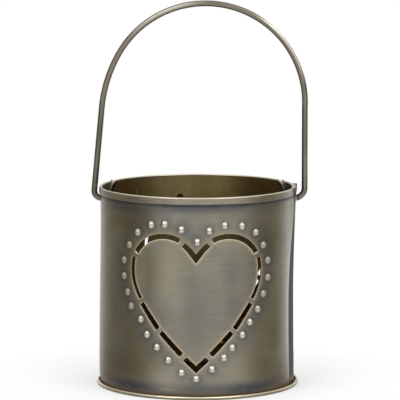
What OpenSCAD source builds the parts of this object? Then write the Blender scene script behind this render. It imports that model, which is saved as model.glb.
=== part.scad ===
// Round sheet-metal candle holder with a wire bail.
// The wall is one sheet, rolled and lapped at a side seam, with a folded rim.
// A pierced heart framed by a row of raised studs is worked in its front, and another in its back.
// The base is a disc whose edge is crimped up and over the wall's out-turned foot.
// Origin: centre of the underside. +Z is up and the front heart faces -Y.

/* [Wall] */
// Outer diameter of the wall at the rim
wall_d = 80; // [66:1:100]
// How much wider the wall is at the foot, across its diameter
foot_spread = 0.8; // [0:0.1:2]
// Height from the table to the top of the rim
wall_h = 82.5; // [66:0.5:110]
// Thickness of the sheet metal
sheet = 0.5; // [0.4:0.05:0.7]

/* [Rim] */
// Height of the rim's outward fold
hem_h = 2.9; // [2.2:0.1:5]
// How far the fold stands out from the wall
hem_out = 0.7; // [0.5:0.05:1.2]
// How far the fold's overlapped ends stand out at the seam
hem_tab_out = 0.5; // [0.2:0.05:0.8]
// Width of the overlapped ends along the rim
hem_tab_w = 9.8; // [6:0.2:11]
// Radius that rounds the fold's lower edge
hem_corner = 0.25; // [0.1:0.05:0.4]

/* [Side seam] */
// Angle of the seam's middle, from the front towards +X
seam_angle = 79; // [60:1:82]
// Width of the lapped strip along the wall
seam_w = 5.6; // [3:0.2:7]
// How far the lapped strip stands out from the wall
seam_out = 0.3; // [0.1:0.05:0.6]

/* [Foot] */
// How far the crimped edge stands out past the wall's foot
bead_out = 1.6; // [1.3:0.1:2.4]
// Width of the groove between the crimped lip and the wall
bead_groove = 0.45; // [0.3:0.05:0.6]

/* [Heart] */
// Width of the pierced heart, between the middles of its side slots
heart_w = 56; // [44:1:60]
// Height of the heart's tip above the table
heart_z = 12.4; // [11:0.2:16]
// Plain wall between the tops of the heart's lobes and the rim's fold
heart_top_gap = 13.2; // [10:0.2:18]
// Distance of the front heart's axis from the middle of the front, along the wall
heart_shift = -0.5; // [-2:0.1:2]
// Angle of the back heart's axis, from the front towards +X
back_heart_angle = 173.6; // [165:0.2:195]
// Width of the slots along the heart's lower half and in its notch
slot_w = 2.3; // [1.2:0.1:2.6]
// Width of the curved slots along the heart's sides
side_slot_w = 1.7; // [1.2:0.1:2.6]
// Width of the slots over the lobes
lobe_slot_w = 2.2; // [1.2:0.1:2.6]
// Radius that rounds the slots' corners
slot_corner = 0.45; // [0.1:0.05:0.5]

/* [Studs] */
// Diameter of a raised stud where it leaves the wall
stud_d = 2.8; // [2:0.1:3.2]
// How far a stud stands out from the wall
stud_h = 0.9; // [0.7:0.05:1.1]

/* [Bail] */
// Diameter of the bail's wire
wire_d = 2.5; // [2:0.1:3]
// How far the upright bail rises above the rim
bail_rise = 76.75; // [60:0.25:95]
// Clearance between the wire and its holes, all round
pivot_clearance = 0.5; // [0.2:0.05:0.6]
// Strip of sheet between the bail holes and the rim's fold
hole_gap = 0.55; // [0.4:0.05:1.5]
// How much the radius of the bail's arch exceeds the wall's
arch_spread = 1.1; // [0.6:0.1:1.6]
// How much flatter the left shoulder is than the arch, in radius
shoulder_flatness = 14.9; // [10:0.1:19]
// Angle at which the arch runs into the shoulder, from the right
shoulder_start = 150; // [140:1:155]
// Bend radius of the left leg where it turns into its hole
left_bend_r = 3; // [2.6:0.1:3.6]
// How far inside the wall's face the left bend ends
left_bend_in = 0.3; // [0.1:0.05:0.4]
// Bend radius of the right leg where it turns into its hole
right_bend_r = 4.2; // [3.4:0.1:5]
// Straight wire between the right bend and the wall's face
right_bend_out = 0.25; // [0.1:0.05:1]
// Bend radius of the wire's ends inside the wall
inner_bend_r = 2.8; // [2:0.1:3.4]
// Straight wire between the sheet and the inner bends
inner_run = 0.3; // [0.25:0.05:1]
// Lean of the wire's ends towards the middle
tip_lean = 21; // [0:1:30]
// How far the left end of the wire stands above the rim
left_tip_rise = 2.3; // [1:0.1:6]
// How far the right end of the wire stands above the rim
right_tip_rise = 2.2; // [1:0.1:6]

/* [Hidden] */

$fn = 72;
overrun = 3; // how far cutting bodies run past the sheet

wall_r = wall_d / 2;
foot_r = wall_r + foot_spread / 2;
hem_bottom = wall_h - hem_h;
hem_r = wall_r + hem_out;
hem_round = (hem_out + sheet) / 2;
bead_r = foot_r + bead_out;
bead_round = 1.5 * sheet; // the crimp wraps the flange: three sheets high
hole_r = wire_d / 2 + pivot_clearance;
pivot_z = hem_bottom - hole_gap - hole_r;
heart_h = hem_bottom - heart_top_gap - heart_z;

// Angle that an arc of a given length spans on a circle of radius r
function arc_angle(length, r) = length / r * 180 / PI;

// The wall's outer radius at height z
function wall_r_at(z) = foot_r + (wall_r - foot_r) * z / wall_h;

// Points of an arc about [cx, cy], radius r, from angle a to angle b in steps
function arc(cx, cy, r, a, b, steps = 8) =
    [for (i = [0:steps]) let (t = a + (b - a) * i / steps) [cx + r * cos(t), cy + r * sin(t)]];

// Heart pattern

// The heart is drawn on a grid 56 wide and 54 high, with its tip at [0, 0].
lobe_arc = arc(13.3, 39.6, 14.5, 29, 117);
side_arc = arc(7.5, 39.9, 20.25, -35.8, 14.2, 6);
lower_line = [[15.9, 16.2], [23.3, 26.1]];
bottom_line = [[6, 5.8], [14.6, 14.8]];
tip_corner = [[-4.5, 4.3], [0, 0], [4.5, 4.3]];
notch_corner = [[-5.1, 51], [-2.4, 48.3], [0, 45.1], [2.4, 48.3], [5.1, 51]];

// The studs were set out by hand, so each has its own place, from the tip round by the left.
STUDS = [
    [0, -4], [-6, -1.5], [-11.5, 3.5], [-16.5, 8.5], [-21, 13.5], [-24, 19.5], [-29, 24.5], [-31, 30],
    [-33, 36.5], [-33, 43], [-30, 49.5], [-25.5, 55], [-19, 58.5], [-13, 59], [-6, 57], [0.5, 52],
    [5.5, 56.5], [12, 58.5], [19.5, 58], [26, 55], [30, 49.5], [32.5, 43], [32.5, 36], [30, 29.5],
    [27, 23.5], [23, 18.5], [19.5, 13.5], [15, 8.5], [11.5, 4.5], [6.5, 0]
];

function flip(pts) = [for (i = [len(pts) - 1:-1:0]) [-pts[i].x, pts[i].y]];
function scaled(p) = let (grid = [56, 54]) [p.x * heart_w / grid.x, p.y * heart_h / grid.y];
function unit(v) = v / norm(v);
function left_of(v) = [-v.y, v.x];

// Offset of point i of a line to its left by d, mitred where the line turns
function side_point(pts, i, d) =
    let (before = unit(pts[max(i, 1)] - pts[max(i, 1) - 1]),
         after = unit(pts[min(i + 1, len(pts) - 1)] - pts[min(i + 1, len(pts) - 1) - 1]),
         n = unit(left_of(before) + left_of(after)))
    pts[i] + n * d / (n * left_of(before));

// Square end with rounded corners, half width w2, at point p of a line that heads in direction h
function stroke_end(p, h, w2) =
    let (r = slot_corner, turn = atan2(h.y, h.x))
    concat([for (a = [-90:45:0]) p + turned([r * cos(a) - r, r * sin(a) + r - w2], turn)],
           [for (a = [0:45:90]) p + turned([r * cos(a) - r, r * sin(a) + w2 - r], turn)]);
function turned(v, a) = [v.x * cos(a) - v.y * sin(a), v.x * sin(a) + v.y * cos(a)];

// Outline of a slot of width w along a line
function stroke(pts, w) =
    let (n = len(pts), w2 = w / 2)
    concat(stroke_end(pts[n - 1], unit(pts[n - 1] - pts[n - 2]), w2),
           [for (i = [n - 2:-1:1]) side_point(pts, i, w2)],
           stroke_end(pts[0], unit(pts[0] - pts[1]), w2),
           [for (i = [1:1:n - 2]) side_point(pts, i, -w2)]);

// A slot through the wall, cut square to it at the slot's own middle
module slot(line, w) {
    pts = [for (p = line) scaled(p)];
    xs = [for (p = pts) p.x];
    mid = (min(xs) + max(xs)) / 2;
    outline = [for (p = stroke(pts, w)) [wall_r * sin(arc_angle(p.x - mid, wall_r)), p.y + heart_z]];
    rotate([0, 0, arc_angle(mid, wall_r)])
        translate([0, -(wall_r - overrun), 0])
            rotate([90, 0, 0])
                linear_extrude(2 * overrun) polygon(outline);
}

module heart_slots() {
    for (line = [lobe_arc, flip(lobe_arc)]) slot(line, lobe_slot_w);
    for (line = [side_arc, flip(side_arc)]) slot(line, side_slot_w);
    for (line = [lower_line, bottom_line]) {
        slot(line, slot_w);
        slot(flip(line), slot_w);
    }
    slot(tip_corner, slot_w);
    slot(notch_corner, slot_w);
}

// A stud is a spherical cap: its ball's radius, and how deep the ball's centre lies in the wall
stud_ball_r = (pow(stud_d / 2, 2) + pow(stud_h, 2)) / (2 * stud_h);
stud_depth = max(stud_ball_r - stud_h, 0);

module heart_balls(r) {
    for (p = STUDS) {
        q = scaled(p) + [0, heart_z];
        rotate([0, 0, arc_angle(q.x, wall_r)])
            translate([0, -(wall_r_at(q.y) - stud_depth), q.y])
                rotate([90, 0, 0]) sphere(r);
    }
}

module both_hearts() {
    rotate([0, 0, arc_angle(heart_shift, wall_r)]) children();
    rotate([0, 0, back_heart_angle]) children();
}

// Wall

// Outside of the wall with its folded rim and out-turned foot
module shell_outside() {
    flange_edge = bead_r - bead_round;
    rotate_extrude()
        polygon(concat(
            [[0, sheet], [flange_edge, sheet]],
            arc(flange_edge, 1.5 * sheet, sheet / 2, -90, 90, 6),
            [[wall_r_at(2 * sheet), 2 * sheet], [wall_r_at(hem_bottom), hem_bottom]],
            arc(hem_r - hem_corner, hem_bottom + hem_corner, hem_corner, -90, 0, 3),
            arc(hem_r - hem_round, wall_h - hem_round, hem_round, 0, 90, 6),
            [[0, wall_h]]));
}

// Inside of the wall, rounded over at the rim
module shell_inside() {
    rim_in = wall_r - sheet;
    rotate_extrude()
        polygon(concat(
            [[0, sheet - overrun], [wall_r_at(0) - sheet, sheet - overrun]],
            [[wall_r_at(sheet) - sheet, sheet]],
            arc(rim_in + hem_round, wall_h - hem_round, hem_round, 180, 90, 6),
            [[rim_in + hem_round, wall_h + overrun], [0, wall_h + overrun]]));
}

// Turns a profile in the radius-height plane through an angle to either side of angle a
module sector(a, half_angle) {
    rotate([0, 0, a - 90 - half_angle]) rotate_extrude(angle = 2 * half_angle) children();
}

// The lapped strip up the side
module seam_strip() {
    low = 2 * sheet;
    high = hem_bottom + hem_corner;
    sector(seam_angle, arc_angle(seam_w / 2, wall_r))
        polygon([
            [wall_r_at(low) - sheet / 2, low], [wall_r_at(low) + seam_out, low],
            [wall_r_at(high) + seam_out, high], [wall_r_at(high) - sheet / 2, high]]);
}

// The rim's overlapped ends, over the right bail hole
module hem_tab() {
    tab_r = hem_r + hem_tab_out;
    tab_low = hem_bottom + hem_corner / 2;
    tab_top = wall_h - hem_corner;
    sector(90, arc_angle(hem_tab_w / 2, wall_r))
        polygon([
            [wall_r - sheet / 2, tab_low], [tab_r, tab_low],
            [tab_r, tab_top - hem_tab_out], [tab_r - hem_tab_out, tab_top], [wall_r, tab_top]]);
}

module bail_holes() {
    translate([0, 0, pivot_z]) rotate([0, 90, 0]) cylinder(h = wall_d + 4 * overrun, r = hole_r, center = true);
}

module shell() {
    color([0.42, 0.40, 0.33])
        difference() {
            union() {
                shell_outside();
                seam_strip();
                hem_tab();
                both_hearts() heart_balls(stud_ball_r);
            }
            shell_inside();
            both_hearts() heart_balls(stud_ball_r - sheet);
            both_hearts() heart_slots();
            bail_holes();
        }
}

// Base

// Disc with its edge curled up and over the wall's flange
module base() {
    edge = bead_r - bead_round;
    lip_r = wall_r_at(2 * sheet) + bead_groove;
    color([0.60, 0.52, 0.38])
        rotate_extrude()
            polygon(concat(
                [[0, 0]],
                arc(edge, bead_round, bead_round, -90, 90, 12),
                [[lip_r, 3 * sheet], [lip_r, 2 * sheet]],
                arc(edge, bead_round, sheet / 2, 90, -90, 6),
                [[0, sheet]]));
}

// Bail

arch_r = wall_r + arch_spread;
shoulder_r = arch_r + shoulder_flatness;
right_bend_c = [wall_r + right_bend_out, pivot_z + right_bend_r];
left_bend_c = [left_bend_in - wall_r, pivot_z + left_bend_r];
leg_x = right_bend_c.x + right_bend_r;
arch_c = [leg_x - arch_r, wall_h + bail_rise - wire_d / 2 - arch_r];
shoulder_c = arch_c - (shoulder_r - arch_r) * [cos(shoulder_start), sin(shoulder_start)];
inner_x = wall_r - sheet - inner_run;

// Angle at which the left leg leaves the shoulder, so that it runs straight into its lower bend
to_bend = left_bend_c - shoulder_c;
shoulder_end = 360 + atan2(to_bend.y, to_bend.x) - acos((shoulder_r - left_bend_r) / norm(to_bend));

function around(c, r, a) = c + r * [cos(a), sin(a)];

// Each stretch of wire stops a hair short, and a ball a hair fatter than the wire joins it to the next.
joint_trim = 0.12;
joint_ball_r = wire_d / 2 + 0.02;

// Straight wire from p to q in the plane of the bail
module straight(p, q) {
    d = unit(q - p);
    from = p + d * joint_trim;
    translate([from.x, 0, from.y])
        rotate([0, atan2(d.x, d.y), 0])
            cylinder(h = norm(q - p) - 2 * joint_trim, d = wire_d);
}

// Bent wire about c from angle a to angle b
module bend(c, r, a, b) {
    trim = arc_angle(joint_trim, r);
    translate([c.x, 0, c.y])
        rotate([90, 0, 0])
            rotate([0, 0, a + trim])
                rotate_extrude(angle = b - a - 2 * trim) translate([r, 0]) circle(d = wire_d);
}

// Joining ball at p, where the wire heads at an angle from the +X axis
module joint(p, heading) {
    translate([p.x, 0, p.y]) rotate([0, 90 - heading, 0]) sphere(joint_ball_r);
}

// The wire's end inside the wall, drawn for the left side: through the hole, a bend up and a straight tip
module wire_end(tip_rise) {
    c = [-inner_x, pivot_z + inner_bend_r];
    last = 360 - tip_lean;
    from = around(c, inner_bend_r, last);
    rise = wall_h + tip_rise - from.y;
    joint([c.x, pivot_z], 0);
    bend(c, inner_bend_r, 270, last);
    joint(from, last + 90);
    straight(from, from + [rise * tan(tip_lean), rise]);
}

module left_side() {
    leg_top = around(shoulder_c, shoulder_r, shoulder_end);
    leg_foot = around(left_bend_c, left_bend_r, shoulder_end);
    bend(shoulder_c, shoulder_r, shoulder_start, shoulder_end);
    joint(leg_top, shoulder_end + 90);
    straight(leg_top, leg_foot);
    joint(leg_foot, shoulder_end + 90);
    bend(left_bend_c, left_bend_r, shoulder_end, 270);
    joint([left_bend_c.x, pivot_z], 0);
    straight([left_bend_c.x, pivot_z], [-inner_x, pivot_z]);
    wire_end(left_tip_rise);
}

module right_side() {
    joint([leg_x, arch_c.y], 90);
    straight([leg_x, right_bend_c.y], [leg_x, arch_c.y]);
    joint([leg_x, right_bend_c.y], 90);
    bend(right_bend_c, right_bend_r, -90, 0);
    joint([right_bend_c.x, pivot_z], 0);
    straight([inner_x, pivot_z], [right_bend_c.x, pivot_z]);
    mirror([1, 0, 0]) wire_end(right_tip_rise);
}

module bail() {
    color([0.45, 0.43, 0.37])
        union() {
            bend(arch_c, arch_r, 0, shoulder_start);
            joint(around(arch_c, arch_r, shoulder_start), shoulder_start + 90);
            left_side();
            right_side();
        }
}

shell();
base();
bail();
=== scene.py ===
"""Looks of a round sheet-metal candle holder with a wire bail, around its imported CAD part.

The wall is drawn on the flat sheet, distance round the wall against height, and rolled up. All sizes in the
classes are in millimetres and degrees; meshes are made in metres in the part's own frame. Angles run from the
front, -Y, towards +X.
"""

import logging
import math
from collections.abc import Callable, Sequence
from dataclasses import dataclass, field
from enum import Enum

import bpy
import numpy as np
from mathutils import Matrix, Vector
from mathutils.geometry import delaunay_2d_cdt


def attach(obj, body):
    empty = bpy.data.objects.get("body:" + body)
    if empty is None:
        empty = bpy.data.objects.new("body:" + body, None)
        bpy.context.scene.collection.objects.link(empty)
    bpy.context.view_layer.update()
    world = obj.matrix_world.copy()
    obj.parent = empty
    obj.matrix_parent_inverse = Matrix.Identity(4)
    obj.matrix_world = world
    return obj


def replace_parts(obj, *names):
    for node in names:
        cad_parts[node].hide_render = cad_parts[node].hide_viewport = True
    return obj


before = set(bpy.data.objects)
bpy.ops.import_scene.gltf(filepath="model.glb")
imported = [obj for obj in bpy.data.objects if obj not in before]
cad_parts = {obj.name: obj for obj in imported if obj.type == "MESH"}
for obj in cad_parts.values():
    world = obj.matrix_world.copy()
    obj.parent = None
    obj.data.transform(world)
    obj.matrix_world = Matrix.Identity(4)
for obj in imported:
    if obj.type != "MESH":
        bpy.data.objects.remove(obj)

LOG = logging.getLogger("candle_holder")
MM = 0.001
SHEET_UNIT = 100.0  # millimetres of flat sheet for one unit of the texture coordinates
TINY = 1e-4  # points closer together than this are one point
CUT_STEP = 0.45  # longest stretch between two points of an opening's outline

Points = np.ndarray
Pairs = Sequence[tuple[float, float]]
Masks = dict[str, np.ndarray]
Colour = tuple[float, float, float]
Spot = tuple[float, float, float, float, float]


class Body(Enum):
    """The part's two moving bodies."""

    HOLDER = "holder"
    BAIL = "bail"


class Slot(Enum):
    """The record's material slots."""

    WALL = "wall"
    BASE = "base"
    WIRE = "wire"


# Numbers and outlines


def smooth(x: np.ndarray | float, low: float, high: float) -> np.ndarray:
    """Smooth step of x from 0 at low to 1 at high."""
    t = np.clip((np.asarray(x, float) - low) / (high - low), 0.0, 1.0)
    return t * t * (3.0 - 2.0 * t)


def falls(x: np.ndarray | float, low: float, high: float) -> np.ndarray:
    """Smooth step of x from 1 at low to 0 at high."""
    return 1.0 - smooth(x, low, high)


def band(x: np.ndarray, start: float, full: float, until: float, gone: float) -> np.ndarray:
    """Rises from 0 at start to 1 at full, and falls from 1 at until to 0 at gone."""
    return smooth(x, start, full) * falls(x, until, gone)


def hump(x: np.ndarray, middle: float, width: float, power: int = 2) -> np.ndarray:
    """Soft hump, 1 at the middle and nearly gone two widths away."""
    return np.exp(-((x - middle) / width) ** power)


def arc(cx: float, cy: float, r: float, start: float, end: float, steps: int) -> list[tuple[float, float]]:
    """Points of an arc.

    Args:
        cx: centre, first coordinate.
        cy: centre, second coordinate.
        r: radius.
        start: first angle in degrees.
        end: last angle in degrees.
        steps: number of steps between them.

    Returns:
        The points in order, both ends included.
    """
    angles = np.radians(np.linspace(start, end, steps + 1))
    return [(cx + r * math.cos(a), cy + r * math.sin(a)) for a in angles]


def mirrored(line: Pairs) -> list[tuple[float, float]]:
    """The line mirrored left to right, with its direction kept."""
    return [(-x, y) for x, y in reversed(line)]


def stroke(line: Pairs, width: float, corner: float) -> Points:
    """Outline of a slot along a line.

    Args:
        line: points of the slot's middle.
        width: width of the slot.
        corner: radius of its rounded corners.

    Returns:
        The closed outline, anticlockwise.
    """
    pts = np.array(line, float)
    half = width / 2
    steps = np.diff(pts, axis=0)
    steps /= np.linalg.norm(steps, axis=1)[:, None]

    def end(p: Points, heading: Points) -> list[Points]:
        """Square end with rounded corners.

        Args:
            p: the line's end.
            heading: unit direction out of the slot.

        Returns:
            Its points, from the slot's right side to its left.
        """
        turn = np.array([[heading[0], -heading[1]], [heading[1], heading[0]]])
        local = [(corner * math.cos(a) - corner, corner * math.sin(a) + shift - back)
                 for start, shift, back in ((-90, corner, half), (0, half, corner))
                 for a in np.radians([start, start + 30, start + 60, start + 90])]
        return [p + turn @ np.array(q) for q in local]

    def side(i: int, d: float) -> Points:
        """A point of the line moved sideways, mitred.

        Args:
            i: the point's number.
            d: the distance to the left.

        Returns:
            The moved point.
        """
        a, b = steps[i - 1], steps[i]
        n = np.array([-a[1] - b[1], a[0] + b[0]])
        n /= np.linalg.norm(n)
        return pts[i] + n * d / (n @ np.array([-a[1], a[0]]))

    last = len(pts) - 1
    loop = end(pts[last], steps[-1]) + [side(i, half) for i in range(last - 1, 0, -1)]
    loop += end(pts[0], -steps[0]) + [side(i, -half) for i in range(1, last)]
    return np.array(loop)


def resampled(loop: Points, step: float) -> Points:
    """Puts more points on a closed outline.

    Args:
        loop: the outline.
        step: the longest stretch between two points.

    Returns:
        The outline's points, without doubles.
    """
    out = []
    for p, q in zip(loop, np.roll(loop, -1, axis=0)):
        n = max(1, math.ceil(np.linalg.norm(q - p) / step - 1e-6))
        out += [p + (q - p) * k / n for k in range(n)]
    out = np.array(out)
    return out[np.linalg.norm(out - np.roll(out, 1, axis=0), axis=1) > TINY]


def circle(centre: tuple[float, float], r: float, n: int, turn: float = 0.0) -> Points:
    """Points of a circle, anticlockwise."""
    a = np.linspace(0, 2 * np.pi, n, endpoint=False) + turn
    return np.stack([centre[0] + r * np.cos(a), centre[1] + r * np.sin(a)], axis=1)


def inside(points: Points, loop: Points) -> np.ndarray:
    """Which points lie inside a closed outline.

    Args:
        points: points on the flat sheet.
        loop: the outline.

    Returns:
        True or False for each point.
    """
    hit = np.zeros(len(points), bool)
    lo, hi = loop.min(0), loop.max(0)
    near = np.all((points >= lo) & (points <= hi), axis=1)
    x, y = points[near, 0][:, None], points[near, 1][:, None]
    p, q = loop, np.roll(loop, -1, axis=0)
    crosses = (p[:, 1] > y) != (q[:, 1] > y)
    with np.errstate(divide="ignore", invalid="ignore"):
        at = (q[:, 0] - p[:, 0]) * (y - p[:, 1]) / (q[:, 1] - p[:, 1]) + p[:, 0]
    hit[near] = np.count_nonzero(crosses & (x < at), axis=1) % 2 == 1
    return hit


def from_sides(points: Points, loop: Points) -> np.ndarray:
    """Distance of points from the sides of a closed outline.

    Args:
        points: points on the flat sheet.
        loop: the outline.

    Returns:
        The distance of each point from each side (points x sides).
    """
    d = np.roll(loop, -1, axis=0) - loop
    v = points[:, None, :] - loop
    t = np.clip((v * d).sum(2) / (d * d).sum(1), 0, 1)
    return np.linalg.norm(v - t[:, :, None] * d, axis=2)


def distance(points: Points, loop: Points, reach: float) -> np.ndarray:
    """Distance of points from a closed outline, or reach where it is farther off.

    Args:
        points: points on the flat sheet.
        loop: the outline.
        reach: the longest distance that matters.

    Returns:
        One distance for each point.
    """
    out = np.full(len(points), reach)
    near = np.all((points >= loop.min(0) - reach) & (points <= loop.max(0) + reach), axis=1)
    if near.any():
        out[near] = np.minimum(reach, from_sides(points[near], loop).min(1))
    return out


def uphill(points: Points, loop: Points, reach: float) -> np.ndarray:
    """How far an outline's nearest side looks up into the outline, from -1 to 1.

    Args:
        points: points on the flat sheet.
        loop: the outline, anticlockwise.
        reach: the longest distance that matters.

    Returns:
        One value for each point, 0 beyond reach.
    """
    out = np.zeros(len(points))
    near = np.flatnonzero(distance(points, loop, reach) < reach)
    if len(near):
        d = np.roll(loop, -1, axis=0) - loop
        nearest = from_sides(points[near], loop).argmin(1)
        out[near] = (d[:, 0] / np.linalg.norm(d, axis=1))[nearest]
    return out


def around(loop: Points) -> Points:
    """Unit directions straight out of an anticlockwise outline, one for each of its points."""
    heading = np.roll(loop, -1, axis=0) - np.roll(loop, 1, axis=0)
    return np.stack([heading[:, 1], -heading[:, 0]], axis=1) / np.linalg.norm(heading, axis=1)[:, None]


def unit(vectors: np.ndarray) -> np.ndarray:
    """Each row of an array brought to length 1."""
    return vectors / np.linalg.norm(vectors, axis=1)[:, None]


# Meshes


@dataclass
class MeshDraft:
    """Collects vertices, faces, normals and masks of wear, stains and painted light, and turns them into one
    piece.

    Normals are kept for each corner, so that a smooth skin can meet a flat cut edge at shared vertices.
    """

    verts: list[np.ndarray] = field(default_factory=list)
    uvs: list[np.ndarray] = field(default_factory=list)
    masks: list[Masks] = field(default_factory=list)
    faces: list[tuple[int, ...]] = field(default_factory=list)
    slots: list[int] = field(default_factory=list)
    normals: list[np.ndarray] = field(default_factory=list)
    count: int = 0

    def add_verts(self, xyz: np.ndarray, uv: np.ndarray, masks: Masks) -> int:
        """Adds vertices.

        Args:
            xyz: their places in millimetres.
            uv: their places on the flat sheet.
            masks: their masks of wear, stains and painted light.

        Returns:
            The first one's number.
        """
        first = self.count
        self.verts.append(xyz)
        self.uvs.append(uv)
        self.masks.append(masks)
        self.count += len(xyz)
        return first

    def add_faces(self, faces: np.ndarray, slot: int, corner_normals: np.ndarray) -> None:
        """Adds faces.

        Args:
            faces: their vertex numbers.
            slot: number of their material.
            corner_normals: a normal for each corner (faces x corners x 3).
        """
        self.faces += [tuple(f) for f in faces.tolist()]
        self.slots += [slot] * len(faces)
        self.normals.append(corner_normals.reshape(-1, 3))

    def build(self, name: str, materials: Sequence[bpy.types.Material]) -> bpy.types.Object:
        """Makes the object.

        Args:
            name: the piece's name.
            materials: its materials, in the order of the face slots.

        Returns:
            The new object, linked to the scene.
        """
        xyz = np.concatenate(self.verts) * MM
        mesh = bpy.data.meshes.new(name)
        mesh.from_pydata(xyz.tolist(), [], self.faces)
        for m in materials:
            mesh.materials.append(m)
        mesh.polygons.foreach_set("material_index", self.slots)
        mesh.polygons.foreach_set("use_smooth", [True] * len(self.faces))
        corners = np.array([v for f in self.faces for v in f])
        uv = np.concatenate(self.uvs)[corners] / SHEET_UNIT
        mesh.uv_layers.new(name="sheet").data.foreach_set("uv", uv.astype(np.float32).ravel())
        for key in sorted(self.masks[0]):
            values = np.concatenate([masks[key] for masks in self.masks])
            attribute = mesh.attributes.new(key, "FLOAT", "POINT")
            attribute.data.foreach_set("value", values.astype(np.float32))
        normals = np.concatenate(self.normals)
        normals /= np.maximum(np.linalg.norm(normals, axis=1), 1e-12)[:, None]
        mesh.normals_split_custom_set(normals.tolist())
        mesh.update()
        return placed(name, mesh)


def placed(name: str, data: bpy.types.ID) -> bpy.types.Object:
    """Makes an object and links it to the scene.

    Args:
        name: its name.
        data: its mesh, camera or lamp.

    Returns:
        The object.
    """
    obj = bpy.data.objects.new(name, data)
    bpy.context.scene.collection.objects.link(obj)
    return obj


def grid_faces(rows: int, columns: int, closed_rows: bool, closed_columns: bool) -> np.ndarray:
    """Quads of a grid of vertices.

    Args:
        rows: number of rows of vertices.
        columns: number of vertices in each row.
        closed_rows: True if the last row joins the first.
        closed_columns: True if each row's end joins its start.

    Returns:
        One row of four vertex numbers for each quad.
    """
    i = np.arange(rows if closed_rows else rows - 1)[:, None]
    j = np.arange(columns if closed_columns else columns - 1)[None, :]
    a = i * columns + j
    b = i * columns + (j + 1) % columns
    c = ((i + 1) % rows) * columns + (j + 1) % columns
    d = ((i + 1) % rows) * columns + j
    return np.stack([a, b, c, d], axis=2).reshape(-1, 4)


def grid_normals(xyz: np.ndarray, closed_rows: bool, closed_columns: bool) -> np.ndarray:
    """Smooth normals of a grid of points.

    Args:
        xyz: the points (rows x columns x 3).
        closed_rows: True if the last row joins the first.
        closed_columns: True if each row's end joins its start.

    Returns:
        A normal of any length and either side for each point.
    """
    def slope(axis: int, closed: bool) -> np.ndarray:
        """Central difference along one way of the grid."""
        return np.roll(xyz, -1, axis) - np.roll(xyz, 1, axis) if closed else np.gradient(xyz, axis=axis)

    return np.cross(slope(1, closed_columns), slope(0, closed_rows))


def grid_skin(xyz: np.ndarray, closed_rows: bool, closed_columns: bool) -> tuple[np.ndarray, np.ndarray]:
    """Quads and normals of a grid of points.

    Args:
        xyz: the points (rows x columns x 3).
        closed_rows: True if the last row joins the first.
        closed_columns: True if each row's end joins its start.

    Returns:
        The quads and the points' normals, both turned out of the solid.
    """
    quads = grid_faces(*xyz.shape[:2], closed_rows, closed_columns)
    points, normals = xyz.reshape(-1, 3), grid_normals(xyz, closed_rows, closed_columns).reshape(-1, 3)
    corner, along, across = (points[quads[:, k]] for k in (0, 1, 3))
    facing = np.cross(along - corner, across - corner)
    with_faces = np.sign((facing * normals[quads[:, 0]]).sum(1)).mean() > 0
    outwards = (facing * corner).sum() > 0
    return quads if outwards else quads[:, ::-1], normals if with_faces == outwards else -normals


# Finishes


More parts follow.
